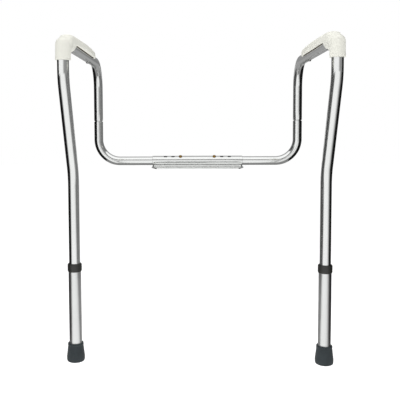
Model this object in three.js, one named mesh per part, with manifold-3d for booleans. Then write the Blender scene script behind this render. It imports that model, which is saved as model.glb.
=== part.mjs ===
// Toilet safety frame: two aluminium side frames with moulded armrests, telescoping front legs and
// a rear bracket that is bolted down under the hinges of a toilet seat.
//
// Millimetres, +Z up, +X to the right of a person who looks at the frame from the front, +Y to the rear.
// The pieces are laid out above the floor, with Y = 0 at the front posts. The whole model is then moved
// so that its origin is on the underside of the mounting plate, midway between the two seat bolts.

import * as THREE from 'three';
import { mergeVertices } from 'three/addons/utils/BufferGeometryUtils.js';
import Module from 'manifold-3d';

const wasm = await Module();
wasm.setup();

// ---- Driving dimensions -----------------------------------------------------------------------

const TUBE_SIDES = 20; // facets round every tube, the same on tubes that slide in one another
const SMALL_SIDES = 12; // facets round buttons, screws, rivets and their holes
const GAP = 0.3; // air between pieces that touch

// Tube sections
const MAIN_RADIUS = 11.1; // 7/8 inch tube
const MAIN_WALL = 1.4;
const OUTER_RADIUS = 12.7; // 1 inch tube that slides over the main tube
const OUTER_WALL = 1.3;
const COUPLER_WALL = 1.4;
const MAIN_BORE = MAIN_RADIUS - MAIN_WALL;
const COUPLER_RADIUS = MAIN_BORE - GAP;

// Side frame centre line, seen from the side
const SIDE_X = 253; // each side frame's plane, from the middle
const ARM_Z = 640;
const POST_Y = 0; // front post, under the armrest's socket
const LEG_Y = 83; // lower part of the front leg
const REAR_Y = 420; // rear drop
const LEG_KINK_Z = 382;
const POST_KINK_Z = 569;
const KINK_RADIUS = 90;
const FRONT_BEND_RADIUS = 38;
const REAR_BEND_RADIUS = 62;
const LEG_TUBE_FOOT_Z = 30; // lower end of the main tube, inside the lower leg

// Rear L tube and its butt joint with the side tube
const CROSS_Z = 393;
const CROSS_BEND_RADIUS = 55;
const CROSS_END_X = 12; // inner end of each L tube, inside the bracket sleeve
const JOINT_Z = 495;
const JOINT_GROOVE = 2;
const COUPLER_HALF_LENGTH = 40;
const RIVET_OFFSET_Z = 22; // rivets above and below the butt joint
const RIVET_RADIUS = 1.6;
const RIVET_HEAD_RADIUS = 3.3;
const RIVET_HEAD_HEIGHT = 1.3;
const RIVET_TAIL_RADIUS = 2.2;
const RIVET_TAIL_HEIGHT = 1.4;
const RIVET_HOLE_RADIUS = RIVET_RADIUS + GAP;

// Width adjustment: the L tubes slide in the bracket sleeve
const HOLE_PITCH = 19.05;
const SLEEVE_HALF_LENGTH = 114.5;
const WIDTH_BUTTON_X = 43;
const WIDTH_BUTTON_TILT = Math.PI / 6; // from straight up towards the front
const WIDTH_HOLES = 3;

// Height adjustment: the lower legs slide on the main tubes
const HEIGHT_BUTTON_Z = 62;
const HEIGHT_HOLES = 7;
const LOWER_LEG_TOP_Z = 201;

// Snap buttons and the leaf springs behind them, as distances from the tube's axis
const BUTTON_RADIUS = 4;
const BUTTON_TOP = 16;
const BUTTON_DOME_HEIGHT = 1.6;
const BUTTON_HOLE_RADIUS = BUTTON_RADIUS + GAP;
const BUTTON_FLANGE_RADIUS = 4.9;
const BUTTON_FLANGE_TOP = 7.8;
const BUTTON_FLANGE_THICKNESS = 1.1;
const SPRING_WIDTH = 6;
const SPRING_LENGTH = 50;
const SPRING_THICKNESS = 0.8;
const SPRING_BEND_HALF = 1.7; // half of the height of its blunt bend
const SPRING_TAIL = 5; // length of each leaf's flat end, past the button's axis
const SPRING_WALL_GAP = 1; // between the lower leaf and the tube's far wall

// Mounting plate
const PLATE_THICKNESS = 3;
const PLATE_TOP_Z = CROSS_Z - OUTER_RADIUS - GAP;
const PLATE_FRONT_Y = 340;
const PLATE_REAR_Y = 433;
const PLATE_CHAMFER_X = 14;
const PLATE_CHAMFER_Y = 41;
const BOLT_LINE_Y = 380;
const SLOT_CENTRE_X = 61.5;
const SLOT_LENGTH = 26;
const SLOT_WIDTH = 8.5;
const WELD_LENGTH = 226;
const WELD_TOE_Y = 11.5; // outer edge of the bead on the plate, from the sleeve's middle plane
const WELD_ROOT_Y = 6;
const WELD_CROWN_Y = 9.8;
const WELD_HEIGHT = 3.6;

// Armrest: a round socket on the post, an elbow round the bend and a pad with a flat underside behind it
const SOCKET_RADIUS = 14.4;
const SOCKET_BOTTOM_Z = 604.5;
const SOCKET_TOP_Z = 646;
const SOCKET_DOME_HEIGHT = 12;
const SOCKET_REAR_Y = 62;
const SOCKET_INSET = 0.1; // keeps the socket's facets off the elbow's
const ELBOW_BEND_RADIUS = 35;
const PAD_FRONT_Y = 14;
const PAD_FRONT_HALF = 12; // half widths of the pad at its front, and where its round rear end starts
const PAD_REAR_HALF = 15.5;
const PAD_SWELL = [[18, 70], [22, 150], [20.8, 216], [18.4, 263]]; // half width and Y, in between
const PAD_CORNER = 8;
const PAD_TAIL_LENGTH = 15;
const PAD_REAR_Y = 300;
const PAD_HUMP_Z = 658; // top of the pad at its front
const PAD_TOP_Z = 656.5; // top of the pad from its middle to the rear
const PAD_LIP_Z = 639.5;
const PAD_EDGE_ROUND = 7;
const PAD_NOSE = { drop: 12, corner: 13, length: 28 }; // curve that leads the hump down to the front
const PAD_HUMP_END_Y = 62;
const PAD_LEVEL_Y = 130; // the hump has levelled out here
const PAD_DIP = { drop: 6, corner: 4, length: 30 }; // curve that leads the top down at the rear
const SCREW_FRONT_Y = 72;
const SCREW_REAR_Y = 268;
const SCREW_RADIUS = 2;
const SCREW_HEAD_RADIUS = 4;
const SCREW_HEAD_HEIGHT = 2.3;
const SCREW_HEAD_BEVEL = 1;
const SCREW_TIP_Z = 654.5;

// Collar and foot
const COLLAR_BOTTOM_Z = 186;
const COLLAR_TOP_Z = 202.8;
const COLLAR_RADIUS = 14.4;
const COLLAR_BEVEL = { inset: 1.2, height: 2.2 };
const TIP_HEIGHT = 38;
const TIP_FLOOR = 5;
const TIP_RADIUS = 18.5;
const TIP_WAIST_RADIUS = 18.3;
const TIP_WAIST_Z = 22.8;
const TIP_TOP_RADIUS = 15.5;
const TIP_FOOT_ROUND = 3;
const TIP_MOUTH_BEVEL = { inset: 0.6, height: 1 };
const WASHER_RADIUS = 12.3;
const WASHER_THICKNESS = 1.5;
const LOWER_LEG_BOTTOM_Z = TIP_FLOOR + WASHER_THICKNESS + 2 * GAP;

// Colours
const ALUMINIUM = { color: 0xc9ccca, roughness: 0.3, metalness: 1 };
const OFF_WHITE_PLASTIC = { color: 0xe9e9de, roughness: 0.5, metalness: 0 };
const BLACK_PLASTIC = { color: 0x2e2e2c, roughness: 0.55, metalness: 0 };
const SLATE_RUBBER = { color: 0x3f4a4d, roughness: 0.8, metalness: 0 };
const STEEL = { color: 0x9a9a98, roughness: 0.35, metalness: 1 };
const BRASS = { color: 0xb5893c, roughness: 0.35, metalness: 1 };

// ---- Solids and cuts --------------------------------------------------------------------------

const X_AXIS = new THREE.Vector3(1, 0, 0);
const Y_AXIS = new THREE.Vector3(0, 1, 0);
const Z_AXIS = new THREE.Vector3(0, 0, 1);
const WIDTH_BUTTON_AXIS = Z_AXIS.clone().applyAxisAngle(X_AXIS, WIDTH_BUTTON_TILT);

function toSolid(geometry) {
  const bare = geometry.clone();
  bare.deleteAttribute('normal');
  bare.deleteAttribute('uv');
  const merged = mergeVertices(bare, 1e-4);
  return new wasm.Manifold(new wasm.Mesh({
    numProp: 3,
    vertProperties: merged.attributes.position.array,
    triVerts: new Uint32Array(merged.index.array),
  }));
}

function toGeometry(solid) {
  const mesh = solid.getMesh();
  const geometry = new THREE.BufferGeometry();
  geometry.setAttribute('position', new THREE.BufferAttribute(mesh.vertProperties, 3));
  geometry.setIndex(new THREE.BufferAttribute(mesh.triVerts, 1));
  return geometry;
}

function cut(geometry, cutters) {
  return toGeometry(cutters.reduce((solid, cutter) => solid.subtract(toSolid(cutter)), toSolid(geometry)));
}

function join(one, other) {
  return toGeometry(toSolid(one).add(toSolid(other)));
}

function common(one, other) {
  return toGeometry(toSolid(one).intersect(toSolid(other)));
}

// ---- Shapes -----------------------------------------------------------------------------------

function polygon(radius, sides) {
  const points = [];
  for (let i = 0; i < sides; i += 1) {
    const angle = (2 * Math.PI * i) / sides;
    points.push(new THREE.Vector2(radius * Math.cos(angle), radius * Math.sin(angle)));
  }
  return points;
}

function ringSection(radius, bore) {
  const section = new THREE.Shape(polygon(radius, TUBE_SIDES));
  section.holes.push(new THREE.Path(polygon(bore, TUBE_SIDES)));
  return section;
}

// The centre line of a bent tube: straight runs, with a round bend at each inner corner. A point at
// step i of `steps` is the line's i-th station, so that facets are spent on the bends alone.
class BentLine extends THREE.Curve {
  constructor(ends, bends) {
    super();
    const [start, finish] = ends;
    const corners = bends.map((bend) => bend.at);
    const path = [start, ...corners, finish];
    const heading = (i) => path[i + 1].clone().sub(path[i]).normalize();
    this.stations = [{ point: start, tangent: heading(0) }];
    bends.forEach((bend, i) => this.addBend(bend, heading(i), heading(i + 1)));
    this.stations.push({ point: finish, tangent: heading(path.length - 2) });
    this.steps = this.stations.length - 1;
  }

  addBend({ at, radius, pieces }, before, after) {
    const turn = before.angleTo(after);
    const inward = after.clone().addScaledVector(before, -before.dot(after)).normalize();
    const entry = at.clone().addScaledVector(before, -radius * Math.tan(turn / 2));
    for (let i = 0; i <= pieces; i += 1) {
      const angle = (turn * i) / pieces;
      const point = entry.clone()
        .addScaledVector(before, radius * Math.sin(angle))
        .addScaledVector(inward, radius * (1 - Math.cos(angle)));
      const tangent = before.clone().multiplyScalar(Math.cos(angle))
        .addScaledVector(inward, Math.sin(angle));
      this.stations.push({ point, tangent });
    }
  }

  getPointAt(u) {
    return this.stations[Math.round(u * this.steps)].point.clone();
  }

  getTangentAt(u) {
    return this.stations[Math.round(u * this.steps)].tangent.clone();
  }
}

function sweep(section, line) {
  return new THREE.ExtrudeGeometry(section, { extrudePath: line, steps: line.steps });
}

function straightTube(start, finish, radius, bore) {
  return sweep(ringSection(radius, bore), new BentLine([start, finish], []));
}

// A plane outline given as (u, v), extruded over `width` and centred on its plane
function extrudeFlat(outline, uAxis, vAxis, width) {
  const wAxis = uAxis.clone().cross(vAxis);
  const settings = { depth: width, bevelEnabled: false, curveSegments: 6 };
  const geometry = new THREE.ExtrudeGeometry(outline, settings);
  geometry.translate(0, 0, -width / 2);
  return geometry.applyMatrix4(new THREE.Matrix4().makeBasis(uAxis, vAxis, wAxis));
}

// A turned piece whose axis points along `axis`. Its profile holds (radius, distance along the axis).
function turned(profile, axis, sides = SMALL_SIDES) {
  const points = profile.map(([radius, along]) => new THREE.Vector2(radius, along));
  const geometry = new THREE.LatheGeometry(points, sides);
  return geometry.applyQuaternion(new THREE.Quaternion().setFromUnitVectors(Y_AXIS, axis));
}

function hole(centre, axis, radius, length) {
  const geometry = new THREE.CylinderGeometry(radius, radius, length, SMALL_SIDES);
  geometry.applyQuaternion(new THREE.Quaternion().setFromUnitVectors(Y_AXIS, axis));
  return geometry.translate(centre.x, centre.y, centre.z);
}

// A hole through one wall only of a tube whose axis passes through `centre`
function wallHole(centre, axis, radius) {
  return hole(centre.clone().addScaledVector(axis, OUTER_RADIUS), axis, radius, OUTER_RADIUS);
}

// The profile of a rounded top, from `radius` at its foot to the axis
function dome(radius, height, top) {
  const pieces = 3;
  const profile = [];
  for (let i = 0; i < pieces; i += 1) {
    const angle = (Math.PI / 2) * (i / pieces);
    profile.push([radius * Math.cos(angle), top - height * (1 - Math.sin(angle))]);
  }
  return [...profile, [0, top]];
}

function at(y, z) {
  return new THREE.Vector3(0, y, z);
}

function pieceMesh(name, geometry, finish) {
  const mesh = new THREE.Mesh(geometry, new THREE.MeshStandardMaterial(finish));
  mesh.name = name;
  return mesh;
}

// ---- Snap buttons, springs, screws and rivets ---------------------------------------------------

function snapButton(axis) {
  const flangeBottom = BUTTON_FLANGE_TOP - BUTTON_FLANGE_THICKNESS;
  return turned([
    [0, flangeBottom],
    [BUTTON_FLANGE_RADIUS, flangeBottom],
    [BUTTON_FLANGE_RADIUS, BUTTON_FLANGE_TOP],
    [BUTTON_RADIUS, BUTTON_FLANGE_TOP],
    ...dome(BUTTON_RADIUS, BUTTON_DOME_HEIGHT, BUTTON_TOP),
  ], axis);
}

// A leaf bent into a V. It lies along the tube: its upper leaf is under the button's flange, and its
// lower leaf is on the far wall of the tube.
function leafSpring(along, buttonAxis) {
  const seat = BUTTON_FLANGE_TOP - BUTTON_FLANGE_THICKNESS - GAP;
  const wall = SPRING_WALL_GAP - MAIN_BORE;
  const bend = (seat + wall) / 2;
  const half = SPRING_BEND_HALF;
  const tail = SPRING_TAIL;
  const t = SPRING_THICKNESS;
  const outline = new THREE.Shape([
    [-tail, seat],
    [tail, seat],
    [SPRING_LENGTH, bend + half],
    [SPRING_LENGTH + half, bend],
    [SPRING_LENGTH, bend - half],
    [-tail, wall],
    [-tail, wall + t],
    [SPRING_LENGTH - t, bend - half + t],
    [SPRING_LENGTH + half - t, bend],
    [SPRING_LENGTH - t, bend + half - t],
    [tail, seat - t],
    [-tail, seat - t],
  ].map(([u, v]) => new THREE.Vector2(u, v)));
  return extrudeFlat(outline, along, buttonAxis, SPRING_WIDTH);
}

function armrestScrew(y) {
  const headTop = ARM_Z - MAIN_RADIUS - GAP;
  const headBottom = headTop - SCREW_HEAD_HEIGHT;
  return turned([
    [0, headBottom],
    [SCREW_HEAD_RADIUS - SCREW_HEAD_BEVEL, headBottom],
    [SCREW_HEAD_RADIUS, headBottom + SCREW_HEAD_BEVEL],
    [SCREW_HEAD_RADIUS, headTop],
    [SCREW_RADIUS, headTop],
    [SCREW_RADIUS, SCREW_TIP_Z - SCREW_RADIUS],
    [0, SCREW_TIP_Z],
  ], Z_AXIS).translate(0, y, 0);
}

// A rivet that points to the rear, through the tube's wall and the coupler's
function jointRivet(z) {
  const headBase = MAIN_RADIUS + GAP;
  const tailTop = COUPLER_RADIUS - COUPLER_WALL - 2 * GAP;
  const tailEnd = tailTop - RIVET_TAIL_HEIGHT;
  return turned([
    [0, tailEnd],
    [RIVET_TAIL_RADIUS, tailEnd],
    [RIVET_TAIL_RADIUS, tailTop],
    [RIVET_RADIUS, tailTop],
    [RIVET_RADIUS, headBase],
    ...dome(RIVET_HEAD_RADIUS, RIVET_HEAD_HEIGHT, headBase + RIVET_HEAD_HEIGHT),
  ], Y_AXIS).translate(0, REAR_Y, z);
}

// ---- Armrest ----------------------------------------------------------------------------------

// The pad's outline from above: rounded front corners, sides that swell towards the middle and a
// round rear end
function padPlan() {
  const cornerX = PAD_FRONT_HALF - PAD_CORNER;
  const cornerY = PAD_FRONT_Y + PAD_CORNER;
  const tailStart = PAD_REAR_Y - PAD_TAIL_LENGTH;
  const corner = new THREE.EllipseCurve(cornerX, cornerY, PAD_CORNER, PAD_CORNER, -Math.PI / 2, 0);
  const side = new THREE.SplineCurve([
    new THREE.Vector2(PAD_FRONT_HALF, cornerY),
    ...PAD_SWELL.map(([half, y]) => new THREE.Vector2(half, y)),
    new THREE.Vector2(PAD_REAR_HALF, tailStart),
  ]);
  const tail = new THREE.EllipseCurve(0, tailStart, PAD_REAR_HALF, PAD_TAIL_LENGTH, 0, Math.PI / 2);
  const right = [
    ...corner.getPoints(3),
    ...side.getPoints(10).slice(1),
    ...tail.getPoints(5).slice(1),
  ];
  const left = right.slice(0, -1).reverse().map((p) => new THREE.Vector2(-p.x, p.y));
  return new THREE.Shape([...right, ...left]);
}

// The pad's outline from the side: a hump that rises out of the elbow, a long level top and a rounded
// rear end. It runs a little past the pad's plan at both ends.
function padSide() {
  const front = PAD_FRONT_Y - 1;
  const rear = PAD_REAR_Y + 1;
  const outline = new THREE.Shape();
  outline.moveTo(front, PAD_LIP_Z);
  outline.lineTo(rear, PAD_LIP_Z);
  outline.lineTo(rear, PAD_TOP_Z - PAD_DIP.drop);
  outline.quadraticCurveTo(rear - PAD_DIP.corner, PAD_TOP_Z, rear - PAD_DIP.length, PAD_TOP_Z);
  outline.lineTo(PAD_LEVEL_Y, PAD_TOP_Z);
  outline.lineTo(PAD_HUMP_END_Y, PAD_HUMP_Z);
  outline.lineTo(front + PAD_NOSE.length, PAD_HUMP_Z);
  outline.quadraticCurveTo(front + PAD_NOSE.corner, PAD_HUMP_Z, front, PAD_HUMP_Z - PAD_NOSE.drop);
  return outline;
}

function armrest(armLine) {
  const depth = 2 * (PAD_HUMP_Z - PAD_LIP_Z);
  const pad = common(
    new THREE.ExtrudeGeometry(padPlan(), {
      depth: depth - 2 * PAD_EDGE_ROUND,
      bevelThickness: PAD_EDGE_ROUND,
      bevelSize: PAD_EDGE_ROUND,
      bevelOffset: -PAD_EDGE_ROUND,
      bevelSegments: 3,
    }).translate(0, 0, PAD_HUMP_Z - depth + PAD_EDGE_ROUND),
    extrudeFlat(padSide(), Y_AXIS, Z_AXIS, 4 * SOCKET_RADIUS),
  );
  const elbowLine = new BentLine([at(POST_Y, SOCKET_BOTTOM_Z), at(SOCKET_REAR_Y, ARM_Z)], [
    { at: at(POST_Y, ARM_Z), radius: ELBOW_BEND_RADIUS, pieces: 6 },
  ]);
  const elbow = sweep(new THREE.Shape(polygon(SOCKET_RADIUS, TUBE_SIDES)), elbowLine);
  const socketRadius = SOCKET_RADIUS - SOCKET_INSET;
  const socketFoot = SOCKET_BOTTOM_Z + 1;
  const socket = turned([
    [0, socketFoot],
    [socketRadius, socketFoot],
    ...dome(socketRadius, SOCKET_DOME_HEIGHT, SOCKET_TOP_Z),
  ], Z_AXIS, TUBE_SIDES);

  const tubeRoom = sweep(new THREE.Shape(polygon(MAIN_RADIUS + GAP, TUBE_SIDES)), armLine);
  const screwDepth = SCREW_TIP_Z + GAP - ARM_Z;
  const screwHoles = [SCREW_FRONT_Y, SCREW_REAR_Y].map(
    (y) => hole(at(y, ARM_Z + screwDepth / 2), Z_AXIS, SCREW_RADIUS + GAP, screwDepth),
  );
  return cut(join(join(elbow, socket), pad), [tubeRoom, ...screwHoles]);
}

// ---- Side frames ------------------------------------------------------------------------------

function sideLine(footZ) {
  return new BentLine([at(LEG_Y, footZ), at(REAR_Y, JOINT_Z + JOINT_GROOVE / 2)], [
    { at: at(LEG_Y, LEG_KINK_Z), radius: KINK_RADIUS, pieces: 3 },
    { at: at(POST_Y, POST_KINK_Z), radius: KINK_RADIUS, pieces: 3 },
    { at: at(POST_Y, ARM_Z), radius: FRONT_BEND_RADIUS, pieces: 6 },
    { at: at(REAR_Y, ARM_Z), radius: REAR_BEND_RADIUS, pieces: 7 },
  ]);
}

function sideTube() {
  const tube = sweep(ringSection(MAIN_RADIUS, MAIN_BORE), sideLine(LEG_TUBE_FOOT_Z));
  const screwHoles = [SCREW_FRONT_Y, SCREW_REAR_Y].map(
    (y) => hole(at(y, ARM_Z), Z_AXIS, SCREW_RADIUS + GAP, 3 * MAIN_RADIUS),
  );
  return cut(tube, [
    wallHole(at(LEG_Y, HEIGHT_BUTTON_Z), Y_AXIS, BUTTON_HOLE_RADIUS),
    wallHole(at(REAR_Y, JOINT_Z + RIVET_OFFSET_Z), Y_AXIS, RIVET_HOLE_RADIUS),
    ...screwHoles,
  ]);
}

// `inward` is the direction along X from this side frame to the middle
function rearTube(inward) {
  const reach = (SIDE_X - CROSS_END_X) * inward;
  const line = new BentLine(
    [at(REAR_Y, JOINT_Z - JOINT_GROOVE / 2), new THREE.Vector3(reach, REAR_Y, CROSS_Z)],
    [{ at: at(REAR_Y, CROSS_Z), radius: CROSS_BEND_RADIUS, pieces: 7 }],
  );
  const buttonAt = new THREE.Vector3((SIDE_X - WIDTH_BUTTON_X) * inward, REAR_Y, CROSS_Z);
  return cut(sweep(ringSection(MAIN_RADIUS, MAIN_BORE), line), [
    wallHole(buttonAt, WIDTH_BUTTON_AXIS, BUTTON_HOLE_RADIUS),
    wallHole(at(REAR_Y, JOINT_Z - RIVET_OFFSET_Z), Y_AXIS, RIVET_HOLE_RADIUS),
  ]);
}

function rearCoupler() {
  const tube = straightTube(
    at(REAR_Y, JOINT_Z - COUPLER_HALF_LENGTH),
    at(REAR_Y, JOINT_Z + COUPLER_HALF_LENGTH),
    COUPLER_RADIUS,
    COUPLER_RADIUS - COUPLER_WALL,
  );
  return cut(tube, [-RIVET_OFFSET_Z, RIVET_OFFSET_Z].map(
    (z) => wallHole(at(REAR_Y, JOINT_Z + z), Y_AXIS, RIVET_HOLE_RADIUS),
  ));
}

function lowerLeg() {
  const tube = straightTube(
    at(LEG_Y, LOWER_LEG_BOTTOM_Z),
    at(LEG_Y, LOWER_LEG_TOP_Z),
    OUTER_RADIUS,
    OUTER_RADIUS - OUTER_WALL,
  );
  const holes = [];
  for (let i = 0; i < HEIGHT_HOLES; i += 1) {
    holes.push(wallHole(at(LEG_Y, HEIGHT_BUTTON_Z + i * HOLE_PITCH), Y_AXIS, BUTTON_HOLE_RADIUS));
  }
  return cut(tube, holes);
}

// A cap over the top of the lower leg, with a hole for the main tube
function legCollar() {
  const lipBore = MAIN_RADIUS + GAP;
  const skirtBore = OUTER_RADIUS + GAP;
  const lipZ = LOWER_LEG_TOP_Z + GAP;
  const bevelRadius = COLLAR_RADIUS - COLLAR_BEVEL.inset;
  return turned([
    [skirtBore, COLLAR_BOTTOM_Z],
    [bevelRadius, COLLAR_BOTTOM_Z],
    [COLLAR_RADIUS, COLLAR_BOTTOM_Z + COLLAR_BEVEL.height],
    [COLLAR_RADIUS, COLLAR_TOP_Z - COLLAR_BEVEL.height],
    [bevelRadius, COLLAR_TOP_Z],
    [lipBore, COLLAR_TOP_Z],
    [lipBore, lipZ],
    [skirtBore, lipZ],
    [skirtBore, COLLAR_BOTTOM_Z],
  ], Z_AXIS, TUBE_SIDES).translate(0, LEG_Y, 0);
}

function footTip() {
  const bore = OUTER_RADIUS + GAP;
  return turned([
    [0, 0],
    [TIP_RADIUS - TIP_FOOT_ROUND, 0],
    [TIP_RADIUS - TIP_FOOT_ROUND / 5, TIP_FOOT_ROUND * 2 / 5],
    [TIP_RADIUS, TIP_FOOT_ROUND],
    [TIP_WAIST_RADIUS, TIP_WAIST_Z],
    [TIP_TOP_RADIUS, TIP_HEIGHT - TIP_MOUTH_BEVEL.height],
    [TIP_TOP_RADIUS - TIP_MOUTH_BEVEL.inset, TIP_HEIGHT],
    [bore, TIP_HEIGHT],
    [bore, TIP_FLOOR],
    [0, TIP_FLOOR],
  ], Z_AXIS, TUBE_SIDES).translate(0, LEG_Y, 0);
}

function footWasher() {
  const bottom = TIP_FLOOR + GAP;
  return hole(at(LEG_Y, bottom + WASHER_THICKNESS / 2), Z_AXIS, WASHER_RADIUS, WASHER_THICKNESS);
}

function sideFrame(name, direction) {
  const inward = -direction;
  const outward = X_AXIS.clone().multiplyScalar(direction);
  const widthButtonX = (SIDE_X - WIDTH_BUTTON_X) * inward;
  const widthButton = snapButton(WIDTH_BUTTON_AXIS).translate(widthButtonX, REAR_Y, CROSS_Z);
  const widthSpring = leafSpring(outward, WIDTH_BUTTON_AXIS).translate(widthButtonX, REAR_Y, CROSS_Z);
  const piece = (part, geometry, finish) => pieceMesh(`${name}_${part}`, geometry, finish);
  const side = new THREE.Group();
  side.position.x = SIDE_X * direction;
  side.add(
    piece('side_tube', sideTube(), ALUMINIUM),
    piece('rear_tube', rearTube(inward), ALUMINIUM),
    piece('rear_coupler', rearCoupler(), ALUMINIUM),
    piece('joint_rivet_lower', jointRivet(JOINT_Z - RIVET_OFFSET_Z), STEEL),
    piece('joint_rivet_upper', jointRivet(JOINT_Z + RIVET_OFFSET_Z), STEEL),
    piece('armrest', armrest(sideLine(LEG_TUBE_FOOT_Z)), OFF_WHITE_PLASTIC),
    piece('armrest_screw_front', armrestScrew(SCREW_FRONT_Y), STEEL),
    piece('armrest_screw_rear', armrestScrew(SCREW_REAR_Y), STEEL),
    piece('lower_leg', lowerLeg(), ALUMINIUM),
    piece('leg_collar', legCollar(), BLACK_PLASTIC),
    piece('foot_tip', footTip(), SLATE_RUBBER),
    piece('foot_washer', footWasher(), STEEL),
    piece('height_button', snapButton(Y_AXIS).translate(0, LEG_Y, HEIGHT_BUTTON_Z), BRASS),
    piece('height_spring', leafSpring(Z_AXIS, Y_AXIS).translate(0, LEG_Y, HEIGHT_BUTTON_Z), STEEL),
    piece('width_button', widthButton, BRASS),
    piece('width_spring', widthSpring, STEEL),
  );
  return side;
}

// ---- Bracket ----------------------------------------------------------------------------------

function bracketSleeve() {
  const tube = straightTube(
    new THREE.Vector3(-SLEEVE_HALF_LENGTH, REAR_Y, CROSS_Z),
    new THREE.Vector3(SLEEVE_HALF_LENGTH, REAR_Y, CROSS_Z),
    OUTER_RADIUS,
    OUTER_RADIUS - OUTER_WALL,
  );
  const holes = [];
  for (const direction of [-1, 1]) {
    for (let i = 0; i < WIDTH_HOLES; i += 1) {
      const x = direction * (WIDTH_BUTTON_X + i * HOLE_PITCH);
      holes.push(wallHole(new THREE.Vector3(x, REAR_Y, CROSS_Z), WIDTH_BUTTON_AXIS, BUTTON_HOLE_RADIUS));
    }
  }
  return cut(tube, holes);
}

function mountingPlate() {
  const halfWidth = SLEEVE_HALF_LENGTH;
  const outline = new THREE.Shape([
    [-halfWidth, PLATE_REAR_Y],
    [-halfWidth, PLATE_FRONT_Y + PLATE_CHAMFER_Y],
    [PLATE_CHAMFER_X - halfWidth, PLATE_FRONT_Y],
    [halfWidth - PLATE_CHAMFER_X, PLATE_FRONT_Y],
    [halfWidth, PLATE_FRONT_Y + PLATE_CHAMFER_Y],
    [halfWidth, PLATE_REAR_Y],
  ].map(([x, y]) => new THREE.Vector2(x, y)));
  const halfSlot = (SLOT_LENGTH - SLOT_WIDTH) / 2;
  for (const centre of [-SLOT_CENTRE_X, SLOT_CENTRE_X]) {
    const slot = new THREE.Path();
    slot.absarc(centre + halfSlot, BOLT_LINE_Y, SLOT_WIDTH / 2, -Math.PI / 2, Math.PI / 2, false);
    slot.absarc(centre - halfSlot, BOLT_LINE_Y, SLOT_WIDTH / 2, Math.PI / 2, 1.5 * Math.PI, false);
    outline.holes.push(slot);
  }
  const settings = { depth: PLATE_THICKNESS, bevelEnabled: false, curveSegments: 6 };
  return new THREE.ExtrudeGeometry(outline, settings).translate(0, 0, PLATE_TOP_Z - PLATE_THICKNESS);
}

// A fillet bead in the corner between the sleeve and the plate, on the sleeve's front (-1) or rear (1)
function plateWeld(facing) {
  const section = new THREE.Shape([
    new THREE.Vector2(facing * WELD_TOE_Y, GAP),
    new THREE.Vector2(facing * WELD_ROOT_Y, GAP),
    new THREE.Vector2(facing * WELD_CROWN_Y, GAP + WELD_HEIGHT),
  ]);
  return extrudeFlat(section, Y_AXIS, Z_AXIS, WELD_LENGTH).translate(0, REAR_Y, PLATE_TOP_Z);
}

const frame = new THREE.Group();
frame.add(
  pieceMesh('bracket_sleeve', bracketSleeve(), ALUMINIUM),
  pieceMesh('mounting_plate', mountingPlate(), ALUMINIUM),
  pieceMesh('plate_weld_front', plateWeld(-1), ALUMINIUM),
  pieceMesh('plate_weld_rear', plateWeld(1), ALUMINIUM),
  sideFrame('left', -1),
  sideFrame('right', 1),
);
frame.position.set(0, -BOLT_LINE_Y, PLATE_THICKNESS - PLATE_TOP_Z);

export default frame;
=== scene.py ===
"""Looks of the toilet safety frame: smooth tubes, moulded armrests, rubber feet and small fittings.

Metres, in the frame of the CAD model: +Z up, +Y to the rear, origin under the mounting plate. Places come
from the boxes of the CAD nodes. The tube sizes, bends and outlines below repeat the CAD's own dimensions.
"""

import math

import bmesh
import bpy
from mathutils import Matrix, Vector


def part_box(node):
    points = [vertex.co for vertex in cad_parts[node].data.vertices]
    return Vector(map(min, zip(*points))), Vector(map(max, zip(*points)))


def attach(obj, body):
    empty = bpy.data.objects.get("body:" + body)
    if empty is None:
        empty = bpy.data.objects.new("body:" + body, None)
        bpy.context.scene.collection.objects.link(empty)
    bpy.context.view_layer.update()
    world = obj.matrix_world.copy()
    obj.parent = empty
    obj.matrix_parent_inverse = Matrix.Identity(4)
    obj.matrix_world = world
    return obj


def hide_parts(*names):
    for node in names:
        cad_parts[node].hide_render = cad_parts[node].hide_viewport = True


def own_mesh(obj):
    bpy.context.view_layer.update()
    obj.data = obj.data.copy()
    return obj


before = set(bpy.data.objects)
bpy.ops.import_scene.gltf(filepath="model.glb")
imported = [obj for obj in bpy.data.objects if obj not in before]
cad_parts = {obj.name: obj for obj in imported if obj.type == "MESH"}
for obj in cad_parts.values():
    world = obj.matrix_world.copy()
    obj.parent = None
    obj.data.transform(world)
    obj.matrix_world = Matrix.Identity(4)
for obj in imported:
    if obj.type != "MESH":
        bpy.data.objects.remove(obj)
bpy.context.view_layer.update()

# ---- Dimensions ---------------------------------------------------------------------------------

TUBE_SIDES = 72
TURNED_SIDES = 96
SMALL_SIDES = 48
RIVET_SIDES = 40

MAIN_RADIUS = 0.0111
MAIN_BORE = 0.0097
OUTER_RADIUS = 0.0127
OUTER_BORE = 0.0114
COUPLER_RADIUS = 0.0094
COUPLER_BORE = 0.0080
TUBE_RIM = 0.0009  # rounding of a tube's cut end
SLEEVE_RIM = 0.0005

LEG_KINK_HEIGHT = 0.382  # above the floor, as is the next
POST_KINK_HEIGHT = 0.569
KINK_RADIUS = 0.090
FRONT_BEND_RADIUS = 0.038
REAR_BEND_RADIUS = 0.062
CROSS_BEND_RADIUS = 0.055

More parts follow.
